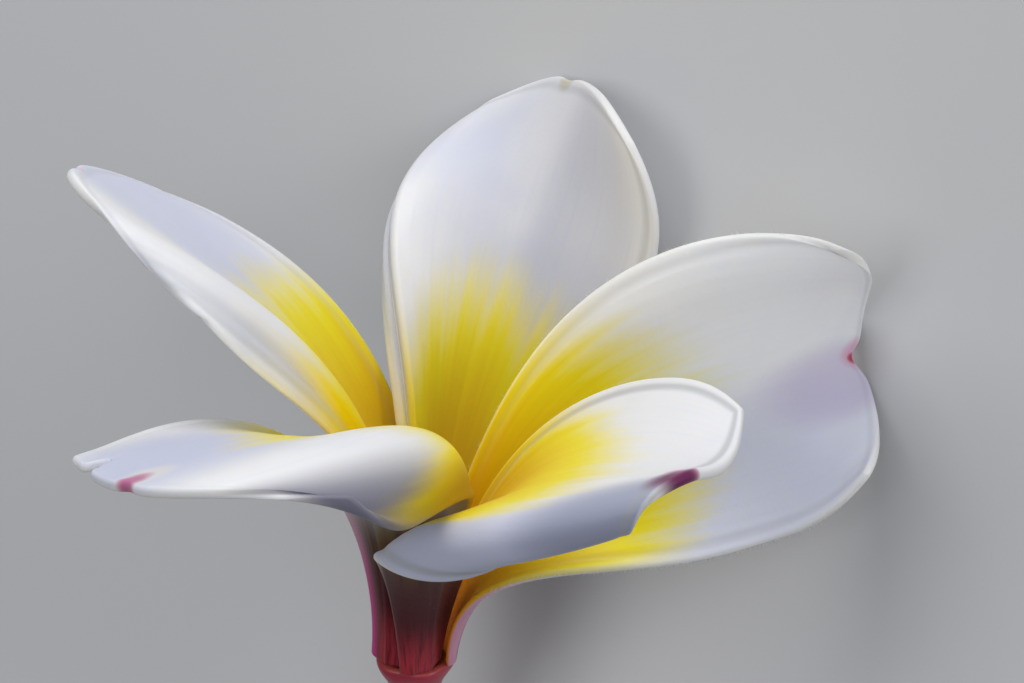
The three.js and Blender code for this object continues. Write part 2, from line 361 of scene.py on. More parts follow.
def turned_skin(
    name: str,
    pose: LyingPose,
    radius: Array,
    height: Array,
    marks: Array,
    span: float,
    looped: bool = False,
) -> bpy.types.Object:
    """Closed skin of a turned piece, from a radius and a height at each place on it.

    Args:
        name: Object name.
        pose: How the flower lies.
        radius: Radii in millimetres, one row per ring and one column per angle.
        height: Heights in millimetres, of the same shape.
        marks: Turn, depth and face of each place, of that shape with three numbers last.
        span: Depth in millimetres that fills the UV map's height.
        looped: Whether the last ring joins the first; otherwise each end gets a cap.

    Returns:
        The new object.
    """
    turn = round_angles(radius.shape[1])
    points = np.stack([radius * np.cos(turn), radius * np.sin(turn), height], -1)
    index = ring_grid(*radius.shape)
    if looped:
        index = np.concatenate([index, index[:1]], axis=0)
    caps = [] if looped else end_caps(index)
    flat = marks.reshape(-1, 3)
    plane = np.stack([np.tile(turn, len(radius)) / (2 * np.pi), flat[:, 1] / span], -1)
    faces = [grid_faces(index, flip=True), *caps]
    return make_object(name, pose.place(points.reshape(-1, 3)), faces, {"tube": flat}, plane)


def dress(
    piece: bpy.types.Object, material: bpy.types.Material, nodes: Sequence[str]
) -> None:
    """Give a piece its finish and say what it rides on and stands for.

    Args:
        piece: The object.
        material: Its finish.
        nodes: Solids that it replaces.
    """
    piece.data.materials.append(material)
    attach(piece, BODY)
    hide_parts(*nodes)
    LOG.info("%s: %d faces", piece.name, len(piece.data.polygons))


class Paint:
    """One material's node tree, with a short call for each kind of node."""

    def __init__(self, name: str) -> None:
        """Start a material that holds one Principled shader."""
        self.material = bpy.data.materials.new(name)
        self.material.use_nodes = True
        self.tree = self.material.node_tree
        self.shader = self.tree.nodes["Principled BSDF"]

    def feed(self, node: bpy.types.Node, inputs: Inputs) -> None:
        """Link each named input of a node to a socket, or set its own value."""
        for key, value in inputs.items():
            socket = node.inputs[key]
            if isinstance(value, bpy.types.NodeSocket):
                self.tree.links.new(value, socket)
            elif isinstance(value, tuple) and socket.type == "RGBA":
                socket.default_value = (*value, 1.0)
            else:
                socket.default_value = value

    def node(self, kind: str, inputs: Inputs, **settings: str) -> bpy.types.Node:
        """A new node, with its settings made and then its inputs fed."""
        node = self.tree.nodes.new(kind)
        for key, value in settings.items():
            setattr(node, key, value)
        self.feed(node, inputs)
        return node

    def attribute(self, name: str) -> tuple[Socket, Socket, Socket]:
        """The three numbers of a vector attribute."""
        node = self.node("ShaderNodeAttribute", {}, attribute_name=name)
        return tuple(self.node("ShaderNodeSeparateXYZ", {0: node.outputs["Vector"]}).outputs)

    def math(self, operation: str, first: Value, second: Value = 0.0) -> Socket:
        """One sum of two numbers."""
        return self.node("ShaderNodeMath", {0: first, 1: second}, operation=operation).outputs[0]

    def plus(self, first: Value, second: Value) -> Socket:
        """The two numbers added."""
        return self.math("ADD", first, second)

    def minus(self, first: Value, second: Value) -> Socket:
        """The first number less the second."""
        return self.math("SUBTRACT", first, second)

    def times(self, first: Value, second: Value) -> Socket:
        """The two numbers multiplied."""
        return self.math("MULTIPLY", first, second)

    def ramp(self, value: Value, low: float, high: float) -> Socket:
        """0 at low, 1 at high and eased between them; low may be the larger."""
        ends = {"From Min": low, "From Max": high, "To Min": 0.0, "To Max": 1.0}
        if low > high:
            ends = {"From Min": high, "From Max": low, "To Min": 1.0, "To Max": 0.0}
        inputs = {"Value": value, **ends}
        return self.node("ShaderNodeMapRange", inputs, interpolation_type="SMOOTHSTEP").outputs[0]

    def noise(self, place: Socket, scale: float, detail: float) -> Socket:
        """Smooth noise of about 0..1 at a place."""
        inputs = {"Vector": place, "Scale": scale, "Detail": detail}
        return self.node("ShaderNodeTexNoise", inputs).outputs[0]

    def streaks(
        self, across: Socket, along: Socket, wide: float, long: float, detail: float = 3.0
    ) -> Socket:
        """Noise on a surface scaled by one number across it and another along it."""
        inputs = {0: self.times(across, wide), 1: self.times(along, long)}
        return self.noise(self.node("ShaderNodeCombineXYZ", inputs).outputs[0], 1.0, detail)

    def clouds(self, scale: float, detail: float = 2.0) -> Socket:
        """Noise at the object's own coordinates, in metres."""
        return self.noise(self.node("ShaderNodeTexCoord", {}).outputs["Object"], scale, detail)

    def mix(self, share: Value, first: Tone, second: Tone) -> Socket:
        """The first colour at share 0 and the second at share 1."""
        inputs = {0: share, 6: first, 7: second}
        return self.node("ShaderNodeMix", inputs, data_type="RGBA").outputs[2]

    def bump(self, height: Socket, strength: float, distance: float) -> None:
        """Raise the surface by a height, with a distance in metres."""
        inputs = {"Strength": strength, "Distance": distance, "Height": height}
        self.feed(self.shader, {"Normal": self.node("ShaderNodeBump", inputs).outputs[0]})

    def flesh(self, weight: float, radius: Colour, scale: float) -> None:
        """Let light into the surface, as plant tissue does, with a faint sheen."""
        inputs = {
            "Subsurface Weight": weight,
            "Subsurface Radius": radius,
            "Subsurface Scale": scale,
            "Sheen Weight": SHEEN,
        }
        self.feed(self.shader, inputs)

    def coat(self, colour: Tone, roughness: Value) -> bpy.types.Material:
        """The material, once the surface has its colour and roughness."""
        self.feed(self.shader, {"Base Color": colour, "Roughness": roughness})
        return self.material


@dataclass(frozen=True)
class Spot:
    """A soft-edged oval of colour on a blade, placed and sized by shares along and across."""

    along: float
    across: float
    length: float
    width: float
    strength: float
    colour: Colour

    def over(self, paint: Paint, along: Socket, across: Socket, ground: Socket) -> Socket:
        """The oval laid over a ground colour: strongest at its middle, gone at its edge."""
        x = paint.math("DIVIDE", paint.minus(along, self.along), self.length)
        y = paint.math("DIVIDE", paint.minus(across, self.across), self.width)
        squares = paint.plus(paint.times(x, x), paint.times(y, y))
        near = paint.times(paint.ramp(squares, 1.0, 0.05), self.strength)
        return paint.mix(near, ground, self.colour)


@dataclass(frozen=True)
class PetalFinish:
    """Colours of one petal: how far the yellow reaches, its ovals of painted shade, blush and apex
    marks; some marks are painted shade too.
    """

    name: str
    painted_shades: Sequence[Spot]
    marks: Sequence[Spot]
    reach: float = 0.62
    inner_drop: float = 0.14
    edge_rise: float = 0.0
    outer_drop: float = 0.14
    outer_power: float = 2.0
    streak: float = 0.10
    blush: float = 0.7
    claw_reach: float = 0.34
    claw_spread: float = 0.85
    lip: float = 0.4
    # Strength of the painted shade in the groove beside the margin.
    groove: float = 0.2
    white: Colour = (0.86, 0.86, 0.88)
    cool: Colour = (0.72, 0.74, 0.85)
    cream: Colour = (0.88, 0.87, 0.82)
    lemon: Colour = (0.94, 0.78, 0.004)
    golden: Colour = (0.84, 0.53, 0.002)
    orange: Colour = (0.76, 0.26, 0.002)
    pink: Colour = (0.56, 0.05, 0.25)
    # The claw's own flush, darkened as painted shade.
    maroon: Colour = (0.075, 0.004, 0.008)
    olive: Colour = (0.19, 0.125, 0.004)
    umber: Colour = (0.07, 0.03, 0.003)
    ember: Colour = (0.42, 0.03, 0.05)
    shade: Colour = (0.42, 0.44, 0.47)
    roughness: float = 0.38
    gloss: float = 0.28

    def yellow_edge(self, paint: Paint, across: Socket, along: Socket) -> Socket:
        """How far a place lies beyond the end of the yellow, as a share of the length.

        The reach falls with the square of the place across on the inner half and with a
        chosen power on the outer one, rises again by the inner margin, and wanders by noise
        drawn out along the blade, which makes the streaks.
        """
        inner = paint.math("MAXIMUM", across, 0.0)
        outer = paint.math("MAXIMUM", paint.times(across, -1.0), 0.0)
        fall = paint.times(paint.math("POWER", inner, 2.0), self.inner_drop)
        rise = paint.times(paint.math("POWER", inner, 6.0), self.edge_rise)
        loss = paint.times(paint.math("POWER", outer, self.outer_power), self.outer_drop)
        drop = paint.minus(paint.plus(fall, loss), rise)
        broad = paint.streaks(across, along, 7.0, 1.4)
        fine = paint.streaks(across, along, 22.0, 3.0)
        wander = paint.plus(
            paint.times(paint.minus(broad, 0.5), 2.2 * self.streak),
            paint.times(paint.minus(fine, 0.5), 0.6 * self.streak),
        )
        edge = paint.plus(paint.minus(along, self.reach), drop)
        return paint.minus(edge, wander)

    def inner_face(self, paint: Paint, across: Socket, along: Socket, fine: Socket) -> Socket:
        """White with cool clouds and veins, ovals of painted shade, and yellow that deepens to the
        claw.
        """
        cloud = paint.clouds(90.0)
        white = paint.mix(paint.ramp(cloud, 0.4, 0.8), self.white, self.cool)
        veined = paint.times(paint.ramp(fine, 0.5, 0.8), 0.3)
        white = paint.mix(veined, white, self.cool)
        # Painted shade: lavender, slate and shadow ovals darken the white where the petal turns
        # away from the light.
        for shade_spot in self.painted_shades:
            white = shade_spot.over(paint, along, across, white)
        edge = self.yellow_edge(paint, across, along)
        yellow = paint.mix(paint.ramp(edge, -0.02, -0.30), self.lemon, self.golden)
        yellow = paint.mix(paint.ramp(along, 0.30, 0.06), yellow, self.orange)
        return paint.mix(paint.ramp(edge, 0.11, -0.09), white, yellow)

    def outer_face(self, paint: Paint, across: Socket, along: Socket) -> Socket:
        """White behind, blushed pink by the outer margin, olive to maroon and red at the claw; the
        claw's colours are its own flush darkened by painted shade.
        """
        outer = paint.math("MAXIMUM", paint.times(across, -1.0), 0.0)
        pink = paint.times(paint.ramp(along, 0.44, 0.12), paint.ramp(outer, 0.1, 0.45))
        colour = paint.mix(paint.times(pink, self.blush), self.white, self.pink)
        centre = paint.ramp(outer, self.claw_spread, self.claw_spread - 0.45)
        reach = self.claw_reach
        claw = paint.times(paint.ramp(along, reach, 0.5 * reach), centre)
        band = paint.streaks(across, along, 7.0, 1.5)
        # Claw colours: the claw's own flush, darkened as painted shade and deepest towards the
        # foot.
        skin = paint.mix(paint.ramp(band, 0.42, 0.62), self.olive, self.umber)
        colour = paint.mix(claw, colour, skin)
        deep = paint.times(paint.ramp(along, 0.75 * reach, 0.35 * reach), centre)
        colour = paint.mix(deep, colour, self.maroon)
        grain = paint.streaks(across, along, 9.0, 12.0, 4.0)
        foot = paint.times(paint.ramp(along, 0.13, 0.01), paint.ramp(grain, 0.25, 0.6))
        return paint.mix(paint.times(foot, centre), colour, self.ember)

    def material(self) -> bpy.types.Material:
        """Waxy petal: yellow tongues on the inner face, white beyond, blushed claw behind."""
        paint = Paint(self.name)
        across, along, face = paint.attribute("blade")
        rim, _, _ = paint.attribute("rim")
        fine = paint.streaks(across, along, 26.0, 2.2)
        speck = paint.clouds(SPECK_SCALE)
        upper = self.inner_face(paint, across, along, fine)
        # Painted shade: the groove inside the rim bead is darkened towards the shade colour by the
        # groove strength.
        hollow = paint.times(paint.ramp(rim, 0.5, 0.95), paint.ramp(rim, 1.7, 1.1))
        hollow = paint.times(hollow, paint.ramp(along, 0.2, 0.6))
        upper = paint.mix(paint.times(hollow, self.groove), upper, self.shade)
        colour = paint.mix(face, self.outer_face(paint, across, along), upper)
        lip = paint.times(paint.ramp(rim, 0.45, 0.1), paint.ramp(along, 0.2, 0.5))
        lip = paint.times(lip, self.lip)
        colour = paint.mix(lip, colour, self.cream)
        # Marks: the petals' own apex marks, and spots of painted shade over margins and apexes.
        for mark in self.marks:
            colour = mark.over(paint, along, across, colour)
        paint.bump(paint.plus(fine, paint.times(speck, 0.5)), 0.3, 0.00006)
        paint.flesh(0.45, (1.0, 0.85, 0.6), 0.0016)
        paint.feed(paint.shader, {"Specular IOR Level": self.gloss})
        return paint.coat(colour, paint.plus(self.roughness, paint.times(speck, 0.14)))


@dataclass(frozen=True)
class TubeFinish:
    """Flushed tube: red and pink with orange seams, pale streaks and a green foot."""

    name: str = "tube"
    red: Colour = (0.30, 0.02, 0.03)
    pink: Colour = (0.50, 0.05, 0.16)
    orange: Colour = (0.60, 0.26, 0.03)
    inside: Colour = (0.36, 0.10, 0.02)
    ember: Colour = (0.40, 0.03, 0.06)
    pale: Colour = (0.75, 0.34, 0.30)
    green: Colour = (0.40, 0.42, 0.14)
    green_from: float = 9.0
    roughness: float = 0.38

    def material(self) -> bpy.types.Material:
        """Streaks run down the tube with its seams; the bore is orange."""
        paint = Paint(self.name)
        turn, depth, bore = paint.attribute("tube")
        wide = paint.streaks(turn, depth, 3.0, 0.06)
        fine = paint.streaks(turn, depth, 22.0, 0.5)
        speck = paint.clouds(SPECK_SCALE)
        skin = paint.mix(paint.ramp(wide, 0.35, 0.65), self.red, self.pink)
        seam = paint.math("COSINE", paint.times(turn, FLUTE_COUNT))
        skin = paint.mix(paint.times(paint.ramp(seam, 0.7, 1.0), 0.7), skin, self.orange)
        skin = paint.mix(paint.times(paint.ramp(fine, 0.5, 0.8), 0.4), skin, self.pale)
        skin = paint.mix(paint.ramp(depth, self.green_from, TUBE_LENGTH), skin, self.green)
        skin = paint.mix(paint.ramp(depth, 2.6, 0.8), skin, self.ember)
        paint.bump(paint.plus(fine, paint.times(speck, 0.6)), 0.4, 0.00006)
        paint.flesh(0.2, (1.0, 0.4, 0.25), 0.0006)
        return paint.coat(paint.mix(bore, skin, self.inside), self.roughness)


@dataclass(frozen=True)
class GreenFinish:
    """Green skin with long pale flecks, for the calyx and the stalk."""

    name: str
    skin: Colour
    fleck: Colour
    flush: Colour
    roughness: float = 0.42

    def material(self) -> bpy.types.Material:
        """Two greens by noise, flecks along the stem and a flush towards the top."""
        paint = Paint(self.name)
        turn, depth, top = paint.attribute("tube")
        cloud = paint.clouds(500.0, 3.0)
        fine = paint.streaks(turn, depth, 12.0, 0.8, 2.0)
        colour = paint.mix(paint.ramp(cloud, 0.3, 0.7), self.skin, self.fleck)
        colour = paint.mix(paint.times(paint.ramp(fine, 0.6, 0.8), 0.5), colour, self.fleck)
        colour = paint.mix(top, colour, self.flush)
        paint.bump(paint.plus(fine, cloud), 0.35, 0.00008)
        paint.flesh(0.15, (0.6, 1.0, 0.3), 0.0006)
        return paint.coat(colour, self.roughness)


@dataclass(frozen=True)
class EdgeFold:
    """A crest and a hollow that run side by side along the inner half of a blade."""

    crest: float
    hollow: float
    width: float
    height: float
    depth: float

    def rise(self, u: Array, v: Array) -> Array:
        """Rise in millimetres: a bell curve across for each, fading at both ends."""
        fade = np.sin(np.pi * np.clip(u, 0, 1)) ** 0.6
        up = self.height * np.exp(-(((v - self.crest) / self.width) ** 2))
        down = self.depth * np.exp(-(((v - self.hollow) / self.width) ** 2))
        return fade * (up - down)


@dataclass(frozen=True)
class PetalBlade:
    """A petal's finished blade: both faces, a rounded margin and its finish."""

    surface: PetalSurface
    finish: PetalFinish
    pose: LyingPose
    fold: Optional[EdgeFold] = None
    rows: int = 190
    half_columns: int = 60
    rim_steps: int = 6
    crowding: float = 1.4
    vein_count: int = 19
    vein_height: float = 0.007
    ridge_height: float = 0.06
    bead_height: float = 0.042
    bead_place: float = 0.42
    bead_spread: float = 0.22
    groove_depth: float = 0.066
    groove_place: float = 1.05
    groove_spread: float = 0.32
    furrow_depth: float = 0.05
    keel_height: float = 0.12
    midrib_spread: float = 0.07

    def rim_profile(self) -> tuple[Array, Array]:
        """Quarter circle of the rim: distance from the margin and share of the thickness."""
        angle = np.linspace(0.0, 0.5 * np.pi, self.rim_steps + 1)
        return RIM_RADIUS * (1 - np.sin(angle)), np.cos(angle)

    def lattice(self) -> tuple[Array, Array, Array, Array]:
        """Grid of places on the blade.

        Returns:
            Shares of the length, places across, thickness shares and the distance to the
            margin in millimetres, each with one row per share of the length.
        """
        distance, full = self.rim_profile()
        length = self.surface.shape.length
        inner_rows = np.linspace(RIM_RADIUS, length - RIM_RADIUS, self.rows) / length
        u = np.concatenate([distance[:0:-1] / length, inner_rows, 1 - distance[1:] / length])
        row_full = np.concatenate([full[:0:-1], np.ones(self.rows), full[1:]])
        middle = 1 - (1 - np.linspace(0.0, 1.0, self.half_columns + 1)) ** self.crowding
        halves = {}
        for side in Side:
            width = self.surface.half_width(side, u)[:, None]
            plain = middle[None, :] * (1 - RIM_RADIUS / width)
            rounded = 1 - distance[None, 1:] / width
            halves[side] = np.concatenate([plain, rounded], axis=1)
        v = np.concatenate([-halves[Side.OUTER][:, :0:-1], halves[Side.INNER]], axis=1)
        column_full = np.concatenate([np.ones(self.half_columns + 1), full[1:]])
        column_full = np.concatenate([column_full[:0:-1], column_full])
        width_in = self.surface.half_width(Side.INNER, u)[:, None]
        width_out = self.surface.half_width(Side.OUTER, u)[:, None]
        u_grid = np.broadcast_to(u[:, None], v.shape)
        sideways = (1 - np.abs(v)) * np.where(v < 0, width_out, width_in)
        to_margin = np.minimum(sideways, (1 - u_grid) * length)
        return u_grid.copy(), v, row_full[:, None] * column_full[None, :], to_margin

    def relief(self, u: Array, v: Array, to_margin: Array) -> tuple[Array, Array]:
        """Small rises of the inner and the outer face, in millimetres.

        Fine veins are a cosine across the blade that bends a little with the length; a bead
        and a groove beside it, each a bell curve of the distance from the margin, edge the
        inner face; the midrib is a shallow furrow inside and a low keel outside, where broad
        ridges, a cosine across, also run up the claw.
        """
        waver = 0.75 + 0.25 * np.sin(23 * u + 1.3 * np.sin(9 * u))
        bend = self.vein_count * np.pi * (v + 0.06 * np.sin(5 * u + 3 * v))
        fade = np.clip(to_margin / 1.5, 0, 1) * np.clip(4 * (1.02 - u), 0, 1)
        veins = self.vein_height * np.cos(bend) * (0.6 + 0.4 * np.sin(11 * u + 7 * v)) * fade
        bead = np.exp(-(((to_margin - self.bead_place) / self.bead_spread) ** 2))
        groove = np.exp(-(((to_margin - self.groove_place) / self.groove_spread) ** 2))
        rim = waver * (self.bead_height * bead - self.groove_depth * groove) * ease(5 * u - 0.8)
        rib = np.exp(-((v / self.midrib_spread) ** 2)) * np.clip(1.15 - u, 0, 1)
        inside = veins + rim - self.furrow_depth * rib
        ridges = self.ridge_height * np.cos(9 * v + 2 * u) * ease(1 - 2.5 * u)
        outside = veins - ridges - self.keel_height * rib
        if self.fold:
            fold = self.fold.rise(u, v)
            return inside + fold, outside - fold
        return inside, outside

    def build(self) -> bpy.types.Object:
        """Both faces of the blade, sharing their margin, as one closed mesh."""
        u, v, full, to_margin = self.lattice()
        middle = self.surface.points(u, v)
        normal = grid_normals(middle)
        thickness = MIDRIB_THICKNESS + (MARGIN_THICKNESS - MIDRIB_THICKNESS) * v * v
        inside, outside = self.relief(u, v, to_margin)
        above = (full * (0.5 * thickness + inside))[..., None] * normal
        below = (full * (0.5 * thickness - outside))[..., None] * normal
        rows, columns = v.shape
        upper = np.arange(rows * columns).reshape(rows, columns)
        lower = upper.copy()
        hidden = (rows - 2) * (columns - 2)
        lower[1:-1, 1:-1] = rows * columns + np.arange(hidden).reshape(rows - 2, columns - 2)
        under = (middle - below)[1:-1, 1:-1].reshape(-1, 3)
        points = np.concatenate([(middle + above).reshape(-1, 3), under])
        edge = np.ones_like(v)
        edge[0, :] = edge[-1, :] = edge[:, 0] = edge[:, -1] = 0.5
        blade_up = np.stack([v, u, edge], -1).reshape(-1, 3)
        blade_down = np.stack([v, u, np.zeros_like(v)], -1)[1:-1, 1:-1].reshape(-1, 3)
        rim_up = np.stack([to_margin, full, full], -1)
        rim = np.concatenate([rim_up.reshape(-1, 3), rim_up[1:-1, 1:-1].reshape(-1, 3)])
        blade = np.concatenate([blade_up, blade_down])
        plane = np.stack([0.5 + 0.5 * blade[:, 0], blade[:, 1]], -1)
        piece = make_object(
            self.surface.shape.name + "_blade",
            self.pose.place(points),
            [grid_faces(upper), grid_faces(lower, flip=True)],
            {"blade": blade, "rim": rim},
            plane,
        )
        dress(piece, self.finish.material(), [self.surface.shape.name])
        return piece


@dataclass(frozen=True)
class MarginHairs:
    """Short pale hairs that stand out from the rim of one half of a petal."""

    surface: PetalSurface
    side: Side
    pose: LyingPose
    count: int
    start: float = 0.2
    end: float = 0.985
    length: float = 0.4
    radius: float = 0.018
    lean: tuple[float, float] = (0.5, 0.45)
    seed: int = 5
    colour: Colour = (0.86, 0.86, 0.84)

    def build(self) -> bpy.types.Object:
        """Three-sided cones at seeded places, leaning out of the blade at random."""
        draw = np.random.default_rng(self.seed)
        u = np.sort(draw.uniform(self.start, self.end, self.count))
        edge = np.full_like(u, float(self.side.value))
        near = self.surface.points(u, edge * 0.985)
        root = self.surface.points(u, edge)
        along = unit(self.surface.points(u + 0.004, edge) - root)
        out = unit(root - near)
        face = np.cross(along, out)
        lean = draw.normal(0.0, self.lean, (self.count, 2))
        aim = unit(out + along * lean[:, :1] + face * lean[:, 1:])
        reach = self.length * draw.uniform(0.35, 1.0, self.count)[:, None]
        root = root + out * 0.02 + face * draw.uniform(-0.2, 0.2, self.count)[:, None]
        side = unit(np.cross(aim, along + 0.3 * face))
        other = np.cross(aim, side)
        ring = []
        for turn in np.radians((0.0, 120.0, 240.0)):
            spoke = side * math.cos(turn) + other * math.sin(turn)
            ring.append(root + spoke * self.radius)
        points = np.stack([*ring, root + aim * reach], 1).reshape(-1, 3)
        first = 4 * np.arange(self.count)[:, None]
        corners = np.array([[0, 1, 3], [1, 2, 3], [2, 0, 3], [0, 2, 1]])
        faces = (first[:, :, None] + corners[None]).reshape(-1, 3)
        name = self.surface.shape.name + "_hairs_" + self.side.name.lower()
        piece = make_object(name, self.pose.place(points), [faces])
        dress(piece, Paint(name).coat(self.colour, 0.6), [self.surface.shape.name])
        return piece


@dataclass(frozen=True)
class ApexBead:
    """Tiny pale bead that sits in the nick at a petal's apex."""

    surface: PetalSurface
    pose: LyingPose
    radius: float = 0.3
    rings: int = 14
    sides: int = 20
    pole: float = 0.06
    colour: Colour = (0.80, 0.68, 0.58)

    def build(self) -> bpy.types.Object:
        """A ball of rings about its own upright axis, its poles closed by small caps."""
        centre = self.surface.points(np.array([1.0]), np.array([0.0]))[0]
        slope = np.linspace(self.pole, np.pi - self.pole, self.rings)[:, None]
        turn = round_angles(self.sides)[None, :]
        ball = np.stack(
            [np.sin(slope) * np.cos(turn), np.sin(slope) * np.sin(turn), np.cos(slope) + 0 * turn],
            -1,
        )
        points = (centre + self.radius * ball).reshape(-1, 3)
        index = ring_grid(self.rings, self.sides)
        name = self.surface.shape.name + "_bead"
        piece = make_object(name, self.pose.place(points), [grid_faces(index), *end_caps(index)])
        dress(piece, Paint(name).coat(self.colour, 0.4), [self.surface.shape.name])
        return piece


@dataclass(frozen=True)
class CorollaTube:
    """Slender tube with five soft flutes, flared at its mouth under the claws."""

    pose: LyingPose
    sides: int = 120
    rings: int = 90
    lip_steps: int = 7
    lip_rise: float = 0.35
    flare_power: float = 1.4
    map_span: float = 20.0

    def radius(self, depth: Array) -> Array:
        """Outer radius at a depth below the mouth: the tube's own plus an eased flare."""
        flare = ease(1 - depth / MOUTH_LENGTH) ** self.flare_power
        return TUBE_RADIUS + (MOUTH_RADIUS - TUBE_RADIUS) * flare

    def build(self) -> bpy.types.Object:
        """Outside, rim, bore and foot as one closed ring.

        The rim is a half circle of angles, and the flutes are a cosine round the tube whose
        crests twist with the depth.
        """
        outer_depth = np.linspace(TUBE_LENGTH, 0.0, self.rings)
        lip = np.linspace(0.0, np.pi, self.lip_steps)[1:-1]
        depth = np.concatenate([outer_depth, -self.lip_rise * np.sin(lip), outer_depth[::-1]])
        one, none = np.ones(self.rings), np.zeros(self.rings)
        wall = TUBE_WALL * np.concatenate([none, 0.5 * (1 - np.cos(lip)), one])
        outside = np.concatenate([one, 1 - lip / np.pi, none])
        twist = round_angles(self.sides)[None, :] - FLUTE_TWIST * depth[:, None]
        radius = self.radius(np.maximum(depth, 0.0)) - wall
        flute = FLUTE_DEPTH * np.cos(FLUTE_COUNT * twist) * outside[:, None]
        full = radius[:, None] + flute
        down = np.broadcast_to(depth[:, None], full.shape)
        bore = np.broadcast_to(1 - outside[:, None], full.shape)
        marks = np.stack([twist, down, bore], -1)
        piece = turned_skin("tube_skin", self.pose, full, -down, marks, self.map_span, looped=True)
        dress(piece, TubeFinish().material(), ["corolla_tube"])
        return piece


@dataclass(frozen=True)
class CalyxCup:
    """Small green cup with five blunt lobes round the foot of the tube."""

    pose: LyingPose
    sides: int = 120
    side_rings: int = 26
    base_rings: int = 10
    rim_wall: float = 0.12
    base_sag: float = 0.12
    map_span: float = 5.0

    def build(self) -> bpy.types.Object:
        """Outside, lobed rim and inside, closed at both floors.

        The side bellies out as part of a sine wave, the base sags as part of a circle, and
        the rim rises and falls by two cosines round the cup.
        """
        foot = -TUBE_LENGTH - SEAT_GAP - CALYX_WALL
        bore = TUBE_RADIUS + FLUTE_DEPTH + SEAT_GAP
        rise = np.linspace(0.0, 1.0, self.side_rings)
        belly = np.sin(np.pi * (0.28 + 0.6 * rise)) ** 0.8
        rim = bore + self.rim_wall
        out_radius = rim + (CALYX_RADIUS - rim) * belly
        base = np.linspace(0.05, 1.0, self.base_rings)
        sag = -self.base_sag * np.sqrt(1 - np.minimum(base, 0.999) ** 2)
        radius = np.concatenate([base * out_radius[0], out_radius, [bore + 0.05, bore, bore]])
        height = np.concatenate([sag, rise * CALYX_HEIGHT, [CALYX_HEIGHT] * 2, [CALYX_WALL]])
        turn = round_angles(self.sides)
        lobe = CALYX_LOBE_RISE * (0.6 * np.cos(FLUTE_COUNT * turn) + 0.4 * np.cos(turn * 2) ** 2)
        lift = ease(height / CALYX_HEIGHT)
        z = foot + height[:, None] + lift[:, None] * lobe[None, :]
        r = radius[:, None] * np.ones_like(turn)[None, :]
        floor_r = np.array([0.6, 0.05])[:, None] * bore * np.ones_like(turn)[None, :]
        floor_z = np.full_like(floor_r, foot + CALYX_WALL)
        r, z = np.concatenate([r, floor_r]), np.concatenate([z, floor_z])
        flush = 0.5 * ease((z - foot) / CALYX_HEIGHT - 0.55)
        marks = np.stack([np.broadcast_to(turn, r.shape), foot + CALYX_HEIGHT - z, flush], -1)
        piece = turned_skin("calyx_skin", self.pose, r, z, marks, self.map_span)
        finish = GreenFinish("calyx", (0.20, 0.30, 0.06), (0.33, 0.42, 0.12), (0.46, 0.16, 0.09))
        dress(piece, finish.material(), ["calyx"])
        return piece


@dataclass(frozen=True)
class CutStalk:
    """Short stalk under the calyx, cut off square, with a pale cut face."""

    pose: LyingPose
    sides: int = 72
    rings: int = 60
    end_rings: int = 7
    ridge_count: int = 7
    ridge_share: float = 0.018
    map_span: float = 8.0

    def build(self) -> bpy.types.Object:
        """Side and both ends, each end closed to a small cap.

        The radius swells towards the calyx by an eased step, and low ridges, a cosine round
        the stalk, turn slowly along it.
        """
        top = -TUBE_LENGTH - 2 * SEAT_GAP - CALYX_WALL
        share = np.linspace(0.0, 1.0, self.rings)
        radius = STALK_RADIUS * (0.94 + 0.06 * (1 - share) + 0.56 * ease((share - 0.72) / 0.28))
        ends = np.linspace(0.08, 0.97, self.end_rings)
        r = np.concatenate([ends * radius[0], radius, ends[::-1] * radius[-1]])
        z = np.concatenate([0 * ends, share * STALK_LENGTH, 0 * ends + STALK_LENGTH])
        cut = np.concatenate([np.ones(self.end_rings), np.zeros(self.rings + self.end_rings)])
        turn = round_angles(self.sides)
        wave = np.cos(self.ridge_count * turn[None, :] + 0.5 * z[:, None])
        full = r[:, None] * (1 + self.ridge_share * wave)
        height = np.broadcast_to((top - STALK_LENGTH + z)[:, None], full.shape)
        face = np.broadcast_to(cut[:, None], full.shape)
        marks = np.stack([np.broadcast_to(turn, full.shape), top - height, face], -1)
        piece = turned_skin("stalk_skin", self.pose, full, height, marks, self.map_span)
        finish = GreenFinish("stalk", (0.22, 0.33, 0.08), (0.36, 0.45, 0.15), (0.62, 0.64, 0.40))
        dress(piece, finish.material(), ["pedicel"])
        return piece


LAMP_TARGET = (0.0, 0.005, 0.03)


@dataclass(frozen=True)
class Lamp:
    """A square soft light aimed at the flower: place and size in metres, power in watts."""

    name: str
    place: Point
    power: float
    size: float
    colour: Colour

    def build(self) -> None:
        """The lamp, turned to face the flower."""
        data = bpy.data.lights.new(self.name, "AREA")
        data.energy = self.power
        data.size = self.size
        data.color = self.colour
        lamp = bpy.data.objects.new(self.name, data)
        bpy.context.scene.collection.objects.link(lamp)
        lamp.location = self.place
        aim = Vector(LAMP_TARGET) - Vector(self.place)
        lamp.rotation_euler = aim.to_track_quat("-Z", "Y").to_euler()


LAMPS = (
    Lamp("key", (-0.04, 0.60, 0.22), 2.2, 0.32, (1.0, 0.985, 0.96)),
    Lamp("side", (0.62, 0.12, 0.18), 1.1, 0.3, (0.97, 0.98, 1.0)),
    Lamp("front", (0.28, 0.02, 0.53), 0.5, 0.4, (0.97, 0.98, 1.0)),
    Lamp("top", (-0.10, 0.05, 0.60), 0.9, 0.3, (1.0, 0.99, 0.97)),
)


